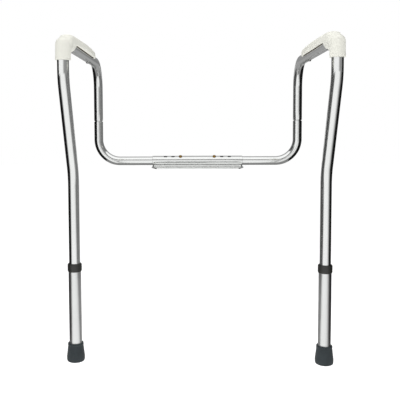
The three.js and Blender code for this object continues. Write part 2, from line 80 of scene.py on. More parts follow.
HOLE_PITCH = 0.01905
HEIGHT_HOLES = 7
WIDTH_HOLES = 3
RIVET_HOLE_RADIUS = 0.0019
SCREW_HOLE_RADIUS = 0.0023
DRILL_DEPTH = 0.03
BUTTON_RADIUS = 0.004
BUTTON_HOLE_RADIUS = 0.0043
BUTTON_FOOT = 0.0067  # from the tube's axis to the underside of the button's flange
BUTTON_LENGTH = 0.0093
SPRING_SEAT = BUTTON_FOOT - 0.0003  # the upper leaf's top, from the tube's axis
SPRING_WALL = 0.001 - MAIN_BORE  # the lower leaf's underside
SPRING_WIDTH = 0.006
SPRING_LENGTH = 0.050
SPRING_THICKNESS = 0.0008
SPRING_BEND_HALF = 0.0017
SPRING_TAIL = 0.005
SPRING_KNEE = 0.003  # rounding of the upper leaf's bend, as the next four are of the fold
SPRING_FOLD_SHOULDER = 0.0014
SPRING_FOLD_TIP = 0.0008
SPRING_INNER_SHOULDER = 0.0006
SPRING_INNER_TIP = 0.0003

SIDES = {"left": -1, "right": 1}


def middle(node):
    """The centre of a CAD node's box."""
    low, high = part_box(node)
    return (Vector(low) + Vector(high)) / 2


FLOOR_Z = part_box("left_foot_tip")[0][2]
GROUND_Z = FLOOR_Z - (HEIGHT_HOLES - 1) * HOLE_PITCH  # where the feet are at the longest leg setting


# ---- Meshes -------------------------------------------------------------------------------------


def new_piece(name, points, faces, grain=None):
    """A piece from points and faces. `grain` gives each face's corners (round, along) in metres."""
    mesh = bpy.data.meshes.new(name)
    mesh.from_pydata([tuple(p) for p in points], [], faces)
    if grain:
        layer = mesh.uv_layers.new(name="grain")
        corners = [uv for face in grain for uv in face]
        layer.data.foreach_set("uv", [value for uv in corners for value in uv])
    piece = bpy.data.objects.new(name, mesh)
    bpy.context.scene.collection.objects.link(piece)
    return piece


def outward(piece):
    """Turns every face of a closed piece to face out."""
    work = bmesh.new()
    work.from_mesh(piece.data)
    bmesh.ops.recalc_face_normals(work, faces=work.faces)
    work.to_mesh(piece.data)
    work.free()
    return piece


def shade(piece, angle=35):
    """Smooth shading, with creases sharper than `angle` degrees kept."""
    piece.data.shade_smooth()
    piece.data.set_sharp_from_angle(angle=math.radians(angle))
    return piece


def apply_modifiers(piece):
    graph = bpy.context.evaluated_depsgraph_get()
    mesh = bpy.data.meshes.new_from_object(piece.evaluated_get(graph), depsgraph=graph)
    piece.modifiers.clear()
    old = piece.data
    piece.data = mesh
    bpy.data.meshes.remove(old)
    return piece


def combine(piece, others, operation):
    """Cuts `others` from a piece, or adds them to it, and deletes them."""
    for other in others:
        modifier = piece.modifiers.new("combine", "BOOLEAN")
        modifier.solver = "EXACT"
        modifier.operation = operation
        modifier.object = other
        apply_modifiers(piece)
        bpy.data.objects.remove(other)
    return piece


def cut(piece, cutters):
    return combine(piece, cutters, "DIFFERENCE")


def grid_faces(rings, sides, wrap_rings):
    """Quads of a grid of points whose rings close round."""
    faces = []
    for i in range(rings if wrap_rings else rings - 1):
        for j in range(sides):
            a, b = i * sides, (i + 1) % rings * sides
            faces.append((a + j, a + (j + 1) % sides, b + (j + 1) % sides, b + j))
    return faces


class BentPath:
    """A tube's centre line: straight runs with a round bend at each inner corner, by arc length."""

    def __init__(self, corners, radii=()):
        corners = [Vector(c) for c in corners]
        self.runs = []
        self.length = 0
        start = corners[0]
        for before, corner, after, radius in zip(corners, corners[1:], corners[2:], radii):
            arriving = (corner - before).normalized()
            leaving = (after - corner).normalized()
            turn = arriving.angle(leaving)
            entry = corner - arriving * radius * math.tan(turn / 2)
            inward = (leaving - arriving * arriving.dot(leaving)).normalized()
            self.add(start, arriving, None, 0, (entry - start).length)
            self.add(entry, arriving, inward, radius, radius * turn)
            start = corner + leaving * radius * math.tan(turn / 2)
        heading = (corners[-1] - start).normalized()
        self.add(start, heading, None, 0, (corners[-1] - start).length)

    def add(self, start, heading, inward, radius, length):
        self.runs.append((self.length, start, heading, inward, radius, length))
        self.length += length

    def at(self, along):
        """Point and direction at an arc length, which may lie a little outside the path."""
        run = [r for r in self.runs if r[0] <= along] or self.runs[:1]
        begun, start, heading, inward, radius, _ = run[-1]
        along -= begun
        if not inward:
            return start + heading * along, heading
        angle = along / radius
        point = start + heading * radius * math.sin(angle) + inward * radius * (1 - math.cos(angle))
        return point, heading * math.cos(angle) + inward * math.sin(angle)

    def stations(self, bend_step=math.radians(3), straight_step=0.03):
        found = []
        for begun, _, _, inward, radius, length in self.runs:
            step = radius * bend_step if inward else straight_step
            count = max(1, round(length / step))
            found += [begun + length * i / count for i in range(count)]
        return found + [self.length]


def along_path(name, path, profile, across, closed, sides=TUBE_SIDES):
    """Rings round a path. `profile` lists (arc length, radius); `across` is normal to the path's plane."""
    points, grain_along = [], []
    travelled = 0
    for i, (along, radius) in enumerate(profile):
        centre, heading = path.at(along)
        second = heading.cross(across)
        for j in range(sides):
            angle = 2 * math.pi * j / sides
            points.append(centre + (across * math.cos(angle) + second * math.sin(angle)) * radius)
        if i:
            travelled += math.dist(profile[i], profile[i - 1])
        grain_along.append(travelled)
    faces = grid_faces(len(profile), sides, closed)
    width = 2 * math.pi * max(radius for _, radius in profile) / sides
    grain = []
    for i in range(len(profile) if closed else len(profile) - 1):
        near = grain_along[i]
        far = grain_along[i + 1] if i + 1 < len(profile) else near + 0.001
        for j in range(sides):
            left, right = j * width, (j + 1) * width
            grain.append([(left, near), (right, near), (right, far), (left, far)])
    if not closed:
        last = len(points) - sides
        faces.append(list(range(sides)))
        faces.append(list(range(last, len(points))))
        grain += [[(0, 0)] * sides, [(0, 0)] * sides]
    return outward(new_piece(name, points, faces, grain))


def tube(name, path, radius, bore, rim, across):
    """A hollow tube with rounded outer rims."""
    steps = 5
    quarter = [math.pi / 2 * i / steps for i in range(steps + 1)]
    front = [(rim * (1 - math.cos(a)), radius - rim * (1 - math.sin(a))) for a in quarter]
    back = [(path.length - along, out) for along, out in reversed(front)]
    between = [s for s in path.stations() if rim < s < path.length - rim]
    outer = front + [(s, radius) for s in between] + back
    inner = [(path.length, bore)] + [(s, bore) for s in reversed(between)] + [(0, bore)]
    return along_path(name, path, outer + inner, across, True)


def rod(name, path, radius, across, sides=TUBE_SIDES):
    profile = [(s, radius) for s in path.stations()]
    return along_path(name, path, profile, across, False, sides)


def drill(centre, axis, radius, depth):
    """A cutter for a hole, from `centre` along `axis` for `depth`."""
    across = Vector(axis).orthogonal().normalized()
    path = BentPath([centre, Vector(centre) + Vector(axis) * depth])
    return rod("drill", path, radius, across, SMALL_SIDES)


def round_corners(corners, pieces=6):
    """A profile whose corners (across, along, rounding) are replaced by arcs."""
    found = []
    count = len(corners)
    for i, (x, y, rounding) in enumerate(corners):
        here = Vector((x, y))
        if not rounding:
            found.append(here)
            continue
        before = (Vector(corners[i - 1][:2]) - here).normalized()
        after = (Vector(corners[(i + 1) % count][:2]) - here).normalized()
        half = before.angle(after) / 2
        reach = rounding / math.tan(half)
        centre = here + (before + after).normalized() * rounding / math.sin(half)
        first, last = here + before * reach - centre, here + after * reach - centre
        sweep = first.angle_signed(last)
        for k in range(pieces + 1):
            turn = Matrix.Rotation(-sweep * k / pieces, 2)
            found.append(centre + turn @ first)
    return found


def turned(name, corners, centre, axis=(0, 0, 1), sides=TURNED_SIDES):
    """A turned piece. Corners are (radius, height along `axis`, rounding), and 0 radius is on the axis."""
    profile = round_corners(corners)
    turn = Vector((0, 0, 1)).rotation_difference(Vector(axis)).to_matrix()
    points, index = [], []
    for radius, height in profile:
        if radius < 1e-7:
            index.append([len(points)] * sides)
            points.append((0, 0, height))
            continue
        index.append(list(range(len(points), len(points) + sides)))
        for j in range(sides):
            angle = 2 * math.pi * j / sides
            points.append((radius * math.cos(angle), radius * math.sin(angle), height))
    faces, grain = [], []
    travelled = 0
    for i, ring in enumerate(index):
        following = index[(i + 1) % len(index)]
        step = math.dist(profile[i], profile[(i + 1) % len(index)])
        width = 2 * math.pi * max(profile[i][0], 0.002) / sides
        for j in range(sides):
            k = (j + 1) % sides
            face = [ring[j], ring[k], following[k], following[j]]
            near, far = travelled, travelled + step
            left, right = j * width, (j + 1) * width
            corner_uvs = [(left, near), (right, near), (right, far), (left, far)]
            kept = [n for n in range(4) if face[n] not in face[:n]]
            if len(kept) > 2:
                faces.append([face[n] for n in kept])
                grain.append([corner_uvs[n] for n in kept])
        travelled += step
    placed = [Vector(centre) + turn @ Vector(p) for p in points]
    return shade(outward(new_piece(name, placed, faces, grain)))


def flat_piece(name, outline, low, high, grain_scale=1):
    """A flat outline in X and Y, raised from `low` to `high`."""
    count = len(outline)
    points = [(x, y, low) for x, y in outline] + [(x, y, high) for x, y in outline]
    faces = [list(range(count)), list(range(count, 2 * count))]
    faces += [(i, (i + 1) % count, (i + 1) % count + count, i + count) for i in range(count)]
    grain = [[(points[v][0] * grain_scale, points[v][1] + points[v][2]) for v in face] for face in faces]
    return outward(new_piece(name, points, faces, grain))


# ---- Materials ----------------------------------------------------------------------------------


def add_node(tree, kind, links=None, **settings):
    """A shader node. `links` gives, for some of its inputs, a socket to join or a value."""
    made = tree.nodes.new("ShaderNode" + kind)
    for name, value in settings.items():
        setattr(made, name, value)
    for socket, value in (links or {}).items():
        if isinstance(value, bpy.types.NodeSocket):
            tree.links.new(value, made.inputs[socket])
        else:
            made.inputs[socket].default_value = value
    return made


def ease(tree, value, start, end, low, high):
    """Goes smoothly from `low` to `high` while `value` goes from `start` to `end`."""
    links = {"Value": value, "From Min": start, "From Max": end, "To Min": low, "To Max": high}
    return add_node(tree, "MapRange", links, interpolation_type="SMOOTHSTEP").outputs["Result"]


class Paint:
    """A Principled material with helpers for the nodes that colour it."""

    def __init__(self, name, **constants):
        self.material = bpy.data.materials.new(name)
        self.material.use_nodes = True
        self.tree = self.material.node_tree
        self.shader = self.tree.nodes["Principled BSDF"]
        for socket, value in constants.items():
            self.shader.inputs[socket.replace("_", " ")].default_value = value

    def node(self, kind, links=None, **settings):
        return add_node(self.tree, kind, links, **settings)

    def stretched(self, scale, use_grain):
        """Coordinates in metres times `scale`: round and along a tube, or the object's own."""
        if use_grain:
            source = self.node("UVMap", uv_map="grain").outputs["UV"]
        else:
            source = self.node("TexCoord").outputs["Object"]
        return self.node("Mapping", {"Vector": source, "Scale": scale}).outputs["Vector"]

    def noise(self, vector, scale=1, detail=3, rough=0.5):
        links = {"Vector": vector, "Scale": scale, "Detail": detail, "Roughness": rough}
        return self.node("TexNoise", links).outputs["Fac"]

    def between(self, factor, low, high, start=0.3, end=0.7):
        links = {"Value": factor, "From Min": start, "From Max": end, "To Min": low, "To Max": high}
        return self.node("MapRange", links).outputs["Result"]

    def blend(self, factor, first, second):
        mixed = self.node("Mix", {"Factor": factor}, data_type="RGBA")
        mixed.inputs[6].default_value = (*first, 1)
        mixed.inputs[7].default_value = (*second, 1)
        return mixed.outputs[2]

    def drive(self, socket, value):
        self.tree.links.new(value, self.shader.inputs[socket])

    def bump(self, height, distance, strength=1):
        made = self.node("Bump", {"Height": height, "Distance": distance, "Strength": strength})
        self.drive("Normal", made.outputs["Normal"])


def aluminium(name, dark, light, smooth, rough):
    """Drawn and anodised tube: fine lines along it and soft cloudy patches."""
    paint = Paint(name, Metallic=1.0)
    lines = paint.noise(paint.stretched((3600, 14, 1), True), detail=2)
    clouds = paint.noise(paint.stretched((22, 22, 22), False), detail=3)
    shares = paint.node("Math", {0: lines, 1: clouds}, operation="ADD").outputs[0]
    paint.drive("Base Color", paint.blend(paint.between(shares, 0, 1, 0.75, 1.25), dark, light))
    paint.drive("Roughness", paint.between(shares, smooth, rough, 0.75, 1.25))
    paint.bump(lines, 0.0000015, 0.5)
    return paint.material


def moulded_plastic():
    """Off-white plastic with the faint orange peel of a mould and very faint clouds."""
    paint = Paint("armrest_plastic", Metallic=0.0, Specular_IOR_Level=0.42)
    clouds = paint.noise(paint.stretched((28, 28, 28), False), detail=4)
    paint.drive("Base Color", paint.blend(clouds, (0.812, 0.808, 0.733), (0.824, 0.821, 0.748)))
    grain = paint.noise(paint.stretched((1500, 1500, 1500), False), detail=2)
    paint.drive("Roughness", paint.between(grain, 0.40, 0.52))
    paint.bump(grain, 0.000006, 0.5)
    return paint.material


def painted_gap_shade():
    """Dark brown painted shade of the gap between the armrest and its tube, with a fine streaky grain."""
    paint = Paint("painted_gap_shade", Metallic=0.0, Roughness=0.95, Specular_IOR_Level=0.1)
    gap_grain = paint.noise(paint.stretched((2600, 700, 2600), False), detail=4, rough=0.7)
    paint.drive("Base Color", paint.blend(gap_grain, (0.030, 0.017, 0.009), (0.085, 0.050, 0.028)))
    paint.bump(gap_grain, 0.0002, 0.8)
    return paint.material


def collar_plastic():
    """Charcoal plastic with a leathery grain."""
    paint = Paint("collar_plastic", Metallic=0.0, Specular_IOR_Level=0.5)
    grain = paint.noise(paint.stretched((900, 900, 900), False), detail=4, rough=0.65)
    shares = paint.between(grain, 0, 1)
    paint.drive("Base Color", paint.blend(shares, (0.014, 0.014, 0.012), (0.028, 0.028, 0.024)))
    paint.drive("Roughness", paint.between(grain, 0.30, 0.42))
    paint.bump(grain, 0.00004, 0.6)
    return paint.material


def tip_rubber():
    """Slate rubber: fine pits and a dusty bloom that fades in and out."""
    paint = Paint("tip_rubber", Metallic=0.0, Specular_IOR_Level=0.35, Sheen_Weight=0.15)
    bloom = paint.noise(paint.stretched((55, 55, 55), False), detail=5, rough=0.6)
    shares = paint.between(bloom, 0, 1)
    paint.drive("Base Color", paint.blend(shares, (0.017, 0.025, 0.029), (0.027, 0.038, 0.043)))
    pits = paint.noise(paint.stretched((2400, 2400, 2400), False), detail=3)
    paint.drive("Roughness", paint.between(pits, 0.55, 0.75))
    paint.bump(pits, 0.00003, 0.6)
    return paint.material


def turned_metal(name, dark, light, smooth, rough):
    """Small turned or pressed metal pieces, with faint rings and stains."""
    paint = Paint(name, Metallic=1.0)
    stains = paint.noise(paint.stretched((420, 420, 420), False), detail=4)
    paint.drive("Base Color", paint.blend(paint.between(stains, 0, 1), dark, light))
    paint.drive("Roughness", paint.between(stains, smooth, rough))
    rings = paint.noise(paint.stretched((30, 6000, 1), True), detail=1)
    paint.bump(rings, 0.00001, 0.4)
    return paint.material


TUBE_METAL = aluminium("tube_aluminium", (0.82, 0.83, 0.82), (0.87, 0.88, 0.87), 0.12, 0.17)
LEG_METAL = aluminium("leg_aluminium", (0.77, 0.78, 0.77), (0.83, 0.84, 0.83), 0.27, 0.33)
BRACKET_METAL = aluminium("bracket_aluminium", (0.81, 0.82, 0.81), (0.86, 0.87, 0.86), 0.14, 0.20)
ARMREST_PLASTIC = moulded_plastic()
# Dark brown painted shade for the gap between each armrest and its tube
GAP_SHADE_PAINT = painted_gap_shade()
COLLAR_PLASTIC = collar_plastic()
TIP_RUBBER = tip_rubber()
BRASS = turned_metal("button_brass", (0.22, 0.115, 0.022), (0.46, 0.27, 0.065), 0.20, 0.34)
STEEL = turned_metal("fastener_steel", (0.42, 0.42, 0.41), (0.60, 0.60, 0.59), 0.26, 0.40)
# Near-black metal: painted shade for the walls of holes, bores and slot ends
HOLE_SHADE_METAL = turned_metal("painted_hole_shade", (0.045, 0.045, 0.043), (0.11, 0.11, 0.105), 0.45, 0.65)


def place(piece, node, body, material):
    """A finished piece: its material, the CAD node that it stands for and the body that it rides on."""
    piece.name = node + "_fine"
    piece.data.materials.clear()
    piece.data.materials.append(material)
    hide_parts(node)
    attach(piece, body)


def paint_wall_shade(piece, inside):
    """Gives the faces whose centre and normal pass `inside` a near-black metal: painted shade on a drilled
    wall or bore.
    """
    piece.data.materials.append(HOLE_SHADE_METAL)
    for face in piece.data.polygons:
        if inside(face.center, face.normal):
            face.material_index = 1


def repaint(node, material):
    """A CAD node that stays as it is, with its own material."""
    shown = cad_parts[node]
    shown.data.materials.clear()
    shown.data.materials.append(material)


# ---- Camera -------------------------------------------------------------------------------------


CAMERA_PLACE = (-0.011744, -1.505167, 0.101237)
CAMERA_YAW = 0.046
CAMERA_PITCH = -0.062
CAMERA_ROLL = 0.005
CAMERA_LENS = 54.31
CAMERA_SHIFT = 0.0875


def add_camera():
    turn = Matrix.Rotation(CAMERA_YAW, 3, "Z") @ Matrix.Rotation(CAMERA_PITCH, 3, "X")
    turn = turn @ Matrix.Rotation(CAMERA_ROLL, 3, "Y")
    right, forward, up = turn.transposed()
    data = bpy.data.cameras.new("camera")
    data.sensor_width = 36
    data.lens = CAMERA_LENS
    data.shift_x = CAMERA_SHIFT
    data.shift_y = -CAMERA_SHIFT
    data.dof.use_dof = False
    camera = bpy.data.objects.new("camera", data)
    bpy.context.scene.collection.objects.link(camera)
    facing = Matrix((right, up, -forward)).transposed().to_4x4()
    camera.matrix_world = Matrix.Translation(CAMERA_PLACE) @ facing
    bpy.context.scene.camera = camera


add_camera()


# ---- Side frames --------------------------------------------------------------------------------

X_AXIS = Vector((1, 0, 0))
Y_AXIS = Vector((0, 1, 0))
Z_AXIS = Vector((0, 0, 1))
WIDTH_BUTTON_TILT = math.pi / 6  # from straight up towards the front
WIDTH_BUTTON_AXIS = Vector((0, -math.sin(WIDTH_BUTTON_TILT), math.cos(WIDTH_BUTTON_TILT)))


class SideFrame:
    """The places of one side frame, from its CAD nodes."""

    def __init__(self, side):
        self.name = side
        self.outward = SIDES[side]
        low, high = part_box(side + "_side_tube")
        self.x = (low[0] + high[0]) / 2
        self.foot_z = low[2]
        self.arm_z = high[2] - MAIN_RADIUS
        self.post_y = low[1] + MAIN_RADIUS
        self.rear_y = high[1] - MAIN_RADIUS
        self.leg_y = middle(side + "_lower_leg").y
        low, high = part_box(side + "_rear_tube")
        self.cross_z = low[2] + MAIN_RADIUS
        self.joint_low = high[2]
        self.joint_high = 2 * middle(side + "_rear_coupler").z - self.joint_low
        self.cross_end_x = min(low[0], high[0], key=abs)

    def at(self, y, z):
        return Vector((self.x, y, z))

    def side_path(self):
        corners = [
            self.at(self.leg_y, self.foot_z),
            self.at(self.leg_y, FLOOR_Z + LEG_KINK_HEIGHT),
            self.at(self.post_y, FLOOR_Z + POST_KINK_HEIGHT),
            self.at(self.post_y, self.arm_z),
            self.at(self.rear_y, self.arm_z),
            self.at(self.rear_y, self.joint_high),
        ]
        return BentPath(corners, [KINK_RADIUS, KINK_RADIUS, FRONT_BEND_RADIUS, REAR_BEND_RADIUS])

    def rear_path(self):
        corners = [
            self.at(self.rear_y, self.joint_low),
            self.at(self.rear_y, self.cross_z),
            Vector((self.cross_end_x, self.rear_y, self.cross_z)),
        ]
        return BentPath(corners, [CROSS_BEND_RADIUS])


def rivet_hole(side, end):
    """A cutter for one of the rivets in the joint of the two tubes."""
    height = middle(f"{side.name}_joint_rivet_{end}").z
    return drill((side.x, side.rear_y, height), Y_AXIS, RIVET_HOLE_RADIUS, DRILL_DEPTH)


def make_side_tube(side):
    name = side.name + "_side_tube"
    piece = tube(name, side.side_path(), MAIN_RADIUS, MAIN_BORE, TUBE_RIM, X_AXIS)
    button = middle(side.name + "_height_button")
    cutters = [
        drill((side.x, side.leg_y, button.z), Y_AXIS, BUTTON_HOLE_RADIUS, DRILL_DEPTH),
        rivet_hole(side, "upper"),
    ]
    for end in ("front", "rear"):
        screw = middle(f"{side.name}_armrest_screw_{end}")
        below = side.at(screw.y, side.arm_z - 0.02)
        cutters.append(drill(below, Z_AXIS, SCREW_HOLE_RADIUS, 0.04))
    place(shade(cut(piece, cutters)), name, side.name + "_side", TUBE_METAL)


def make_rear_tube(side):
    name = side.name + "_rear_tube"
    piece = tube(name, side.rear_path(), MAIN_RADIUS, MAIN_BORE, TUBE_RIM, Y_AXIS)
    button = middle(side.name + "_width_button")
    cutters = [
        drill((button.x, side.rear_y, side.cross_z), WIDTH_BUTTON_AXIS, BUTTON_HOLE_RADIUS, DRILL_DEPTH),
        rivet_hole(side, "lower"),
    ]
    place(shade(cut(piece, cutters)), name, side.name + "_side", TUBE_METAL)


def make_coupler(side):
    name = side.name + "_rear_coupler"
    low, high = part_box(name)
    path = BentPath([side.at(side.rear_y, low[2]), side.at(side.rear_y, high[2])])
    piece = tube(name, path, COUPLER_RADIUS, COUPLER_BORE, SLEEVE_RIM, X_AXIS)
    cutters = [rivet_hole(side, "lower"), rivet_hole(side, "upper")]
    place(shade(cut(piece, cutters)), name, side.name + "_side", LEG_METAL)


def make_lower_leg(side):
    name = side.name + "_lower_leg"
    low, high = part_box(name)
    path = BentPath([side.at(side.leg_y, low[2]), side.at(side.leg_y, high[2])])
    piece = tube(name, path, OUTER_RADIUS, OUTER_BORE, SLEEVE_RIM, X_AXIS)
    first = middle(side.name + "_height_button").z
    holes = [first + HOLE_PITCH * i for i in range(HEIGHT_HOLES)]
    cutters = [drill((side.x, side.leg_y, z), Y_AXIS, BUTTON_HOLE_RADIUS, DRILL_DEPTH) for z in holes]
    place(shade(cut(piece, cutters)), name, side.name + "_leg", LEG_METAL)


def make_collar(side):
    """A cap over the lower leg's top, with bevelled edges and a lip round the upper tube."""
    name = side.name + "_leg_collar"
    low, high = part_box(name)
    radius = (high[0] - low[0]) / 2
    skirt, lip = OUTER_RADIUS + 0.0002, MAIN_RADIUS + 0.0003
    height = high[2] - low[2]
    lip_under = height - 0.0015
    corners = [
        (skirt, 0, 0.0002),
        (radius - 0.0012, 0, 0.0006),
        (radius, 0.0022, 0.0008),
        (radius, height - 0.0022, 0.0008),
        (radius - 0.0013, height, 0.0006),
        (lip + 0.0006, height, 0.0002),
        (lip + 0.0006, height - 0.0006, 0),
        (lip, height - 0.0006, 0),
        (lip, lip_under, 0),
        (skirt, lip_under, 0),
    ]
    piece = turned(name, corners, (side.x, side.leg_y, low[2]))
    place(piece, name, side.name + "_leg", COLLAR_PLASTIC)


def make_foot_tip(side):
    """A tapered rubber ferrule: a lip at the mouth, a flared foot and ring-shaped treads under it."""
    name = side.name + "_foot_tip"
    low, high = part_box(name)
    radius = (high[0] - low[0]) / 2
    height = high[2] - low[2]
    bore, floor = OUTER_RADIUS + 0.0001, 0.005
    mouth = 0.0157
    corners = [(0, 0.0012, 0)]
    for tread in (0.0035, 0.0075, 0.0115):
        corners += [(tread, 0.0012, 0.0003), (tread, 0, 0.0003), (tread + 0.0020, 0, 0.0003)]
        corners += [(tread + 0.0020, 0.0012, 0.0003)]
    corners += [
        (0.0150, 0.0012, 0.0003),
        (0.0150, 0, 0.0003),
        (radius - 0.0004, 0, 0.0034),
        (radius, 0.0100, 0.0080),
        (mouth - 0.0001, height - 0.0042, 0.0004),
        (mouth + 0.0004, height - 0.0036, 0.0003),
        (mouth + 0.0002, height, 0.0010),
        (bore + 0.0008, height, 0.0004),
        (bore, height - 0.0010, 0),
        (bore, floor, 0),
        (0, floor, 0),
    ]
    piece = turned(name, corners, (side.x, side.leg_y, low[2]))
    place(piece, name, side.name + "_leg", TIP_RUBBER)


def make_button(side, kind, tube_centre, axis):
    """A snap button with a flange inside the tube and a domed head outside it."""
    name = f"{side.name}_{kind}_button"
    corners = [
        (0, 0, 0),
        (0.0049, 0, 0.0002),
        (0.0049, 0.0011, 0.0002),
        (BUTTON_RADIUS, 0.0011, 0),
        (BUTTON_RADIUS, BUTTON_LENGTH - 0.0012, 0.0010),
        (BUTTON_RADIUS * 0.62, BUTTON_LENGTH - 0.0003, 0.0020),
        (0, BUTTON_LENGTH, 0),
    ]
    foot = Vector(tube_centre) + axis * BUTTON_FOOT
    piece = turned(name, corners, foot, axis, SMALL_SIDES)
    place(piece, name, name, BRASS)


def make_spring(side, kind, tube_centre, along, axis):
    """A strip folded into two leaves. The real one flattens against the tube's far wall as its button is
    pressed; this piece keeps its folded shape.
    """
    name = f"{side.name}_{kind}_spring"
    bend = (SPRING_SEAT + SPRING_WALL) / 2
    half, tail, end, thick = SPRING_BEND_HALF, SPRING_TAIL, SPRING_LENGTH, SPRING_THICKNESS
    outline = round_corners([
        (-tail, SPRING_SEAT, 0),
        (tail, SPRING_SEAT, SPRING_KNEE),
        (end, bend + half, SPRING_FOLD_SHOULDER),
        (end + half, bend, SPRING_FOLD_TIP),
        (end, bend - half, SPRING_FOLD_SHOULDER),
        (-tail, SPRING_WALL, 0),
        (-tail, SPRING_WALL + thick, 0),
        (end - thick, bend - half + thick, SPRING_INNER_SHOULDER),
        (end + half - thick, bend, SPRING_INNER_TIP),
        (end - thick, bend + half - thick, SPRING_INNER_SHOULDER),
        (tail, SPRING_SEAT - thick, SPRING_KNEE),
        (-tail, SPRING_SEAT - thick, 0),
    ])
    piece = flat_piece(name, outline, -SPRING_WIDTH / 2, SPRING_WIDTH / 2)
    placing = Matrix((along, axis, along.cross(axis))).transposed().to_4x4()
    piece.data.transform(Matrix.Translation(tube_centre) @ placing)
    place(shade(outward(piece), 30), name, side.name + "_side", STEEL)
    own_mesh(piece)


def make_rivet(side, end):
    name = f"{side.name}_joint_rivet_{end}"
    low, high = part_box(name)
    length = high[1] - low[1]
    head = MAIN_RADIUS + side.rear_y - low[1]
    corners = [
        (0, 0, 0),
        (0.0022, 0, 0.0004),
        (0.0022, 0.0014, 0.0002),
        (0.0016, 0.0014, 0),
        (0.0016, head, 0),
        (0.0033, head, 0.0002),
        (0.0031, head + 0.0006, 0.0004),
        (0.0016, length - 0.0001, 0.0014),
        (0, length, 0),
    ]
    piece = turned(name, corners, (side.x, low[1], middle(name).z), Y_AXIS, RIVET_SIDES)
    place(piece, name, side.name + "_side", STEEL)


def make_screw(side, end):
    """A pan-head screw with a cross recess, head down under the arm's tube."""
    name = f"{side.name}_armrest_screw_{end}"
    low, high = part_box(name)
    length = high[2] - low[2]
    head = 0.0023
    corners = [
        (0, 0, 0),
        (0.0028, 0.0001, 0.0016),
        (0.0040, 0.0014, 0.0007),
        (0.0040, head, 0.0002),
        (0.0020, head, 0),
        (0.0020, length - 0.0020, 0),
        (0, length, 0),
    ]
    centre = (side.x, middle(name).y, low[2])
    piece = turned(name, corners, centre, Z_AXIS, SMALL_SIDES)
    cutters = []
    for across, along in ((0.0005, 0.0021), (0.0021, 0.0005)):
        outline = [(-across, -along), (across, -along), (across, along), (-across, along)]
        slot = [(side.x + x, centre[1] + y) for x, y in outline]
        cutters.append(flat_piece("recess", slot, low[2] - 0.001, low[2] + 0.0014))
    place(shade(cut(piece, cutters)), name, side.name + "_side", STEEL)


# ---- Armrests -----------------------------------------------------------------------------------

SOCKET_RADIUS = 0.0144
SOCKET_DOME_HEIGHT = 0.646  # above the floor, as are the other heights here
SOCKET_REAR = 0.062  # behind the post, as are the other lengths here
ELBOW_BEND_RADIUS = 0.035
PAD_LIP_HEIGHT = 0.6395
PAD_TAIL = 0.015
PAD_TAIL_DROP = 0.0065
PAD_WIDTHS = (
    (0.014, 0.0075),
    (0.020, 0.0112),
    (0.030, 0.0138),
    (0.045, 0.0158),
    (0.070, 0.0182),
    (0.110, 0.0209),
    (0.150, 0.0220),
    (0.185, 0.0218),
    (0.216, 0.0208),
    (0.263, 0.0184),
    (0.285, 0.0155),
)
PAD_CROWNS = (
    (0.014, 0.6460),
    (0.020, 0.6518),
    (0.028, 0.6560),
    (0.038, 0.6577),
    (0.050, 0.6579),
    (0.066, 0.6575),
    (0.110, 0.6566),
    (0.150, 0.6563),
    (0.300, 0.6560),
)
PAD_END = PAD_WIDTHS[-1][0] + PAD_TAIL
CHANNEL_HALF_WIDTH = 0.0139
CHANNEL_DEPTH = 0.0005
CHANNEL_START = 0.058
CHANNEL_END = 0.279
VOXEL = 0.0009
TRIM_REACH = 0.03


def curve_through(points, where):
    """A smooth curve through a few points, read at `where`."""
    last = len(points) - 2
    i = min(max(sum(x <= where for x, _ in points) - 1, 0), last)
    (x0, y0), (x1, y1) = points[i], points[i + 1]

    def slope(k):
        (xa, ya), (xb, yb) = points[max(k - 1, 0)], points[min(k + 1, last + 1)]
        return (yb - ya) / (xb - xa)

    t = (where - x0) / (x1 - x0)
    start, finish = slope(i) * (x1 - x0), slope(i + 1) * (x1 - x0)
    eased = (2 * t**3 - 3 * t**2 + 1) * y0 + (3 * t**2 - 2 * t**3) * y1
    return eased + (t**3 - 2 * t**2 + t) * start + (t**3 - t**2) * finish


def pad_half_width(y):
    if y < PAD_WIDTHS[-1][0]:
        return curve_through(PAD_WIDTHS, y)
    share = (y - PAD_WIDTHS[-1][0]) / PAD_TAIL
    return PAD_WIDTHS[-1][1] * math.sqrt(max(0, 1 - share * share))


def pad_crown(y):
    """Height of the pad's middle line: a hump behind the elbow, a long level top and a dip at the tail."""
    dip_start = PAD_END - 2 * PAD_TAIL
    share = max(0, (y - dip_start) / (PAD_END - dip_start))
    return curve_through(PAD_CROWNS, y) - PAD_TAIL_DROP * share**2


def pad_section(y):
    """Half of the pad's outline across it, from the lip up to the crown."""
    half = max(pad_half_width(y), 0.0004)
    crown = pad_crown(y)
    shoulder = PAD_LIP_HEIGHT + 0.005
    lip = half - min(0.0010, half / 3)
    points = [(lip, PAD_LIP_HEIGHT), (half, PAD_LIP_HEIGHT + 0.0012), (half, shoulder)]
    steps, squareness = 10, 3.0
    for i in range(1, steps + 1):
        angle = math.pi / 2 * i / steps
        x = half * max(0, math.cos(angle)) ** (2 / squareness)
        z = shoulder + (crown - shoulder) * math.sin(angle) ** (2 / squareness)
        points.append((x, z))
    return points


def loft(name, sections):
    """A closed solid through outlines that all have the same number of points."""
    count = len(sections[0])
    points = [p for section in sections for p in section]
    faces = grid_faces(len(sections), count, False)
    faces.append(list(range(count)))
    faces.append(list(range(len(points) - count, len(points))))
    return outward(new_piece(name, points, faces))


def pad_solid(side):
    start, finish = PAD_WIDTHS[0][0], PAD_END - 0.00005
    steps = 70
    sections = []
    for i in range(steps + 1):
        share = i / steps
        y = start + (finish - start) * math.sin(share * math.pi / 2) ** 0.9
        half = pad_section(y)
        outline = half + [(-x, z) for x, z in reversed(half[:-1])]
        sections.append([Vector((side.x + x, side.post_y + y, FLOOR_Z + z)) for x, z in outline])
    return loft("pad", sections)


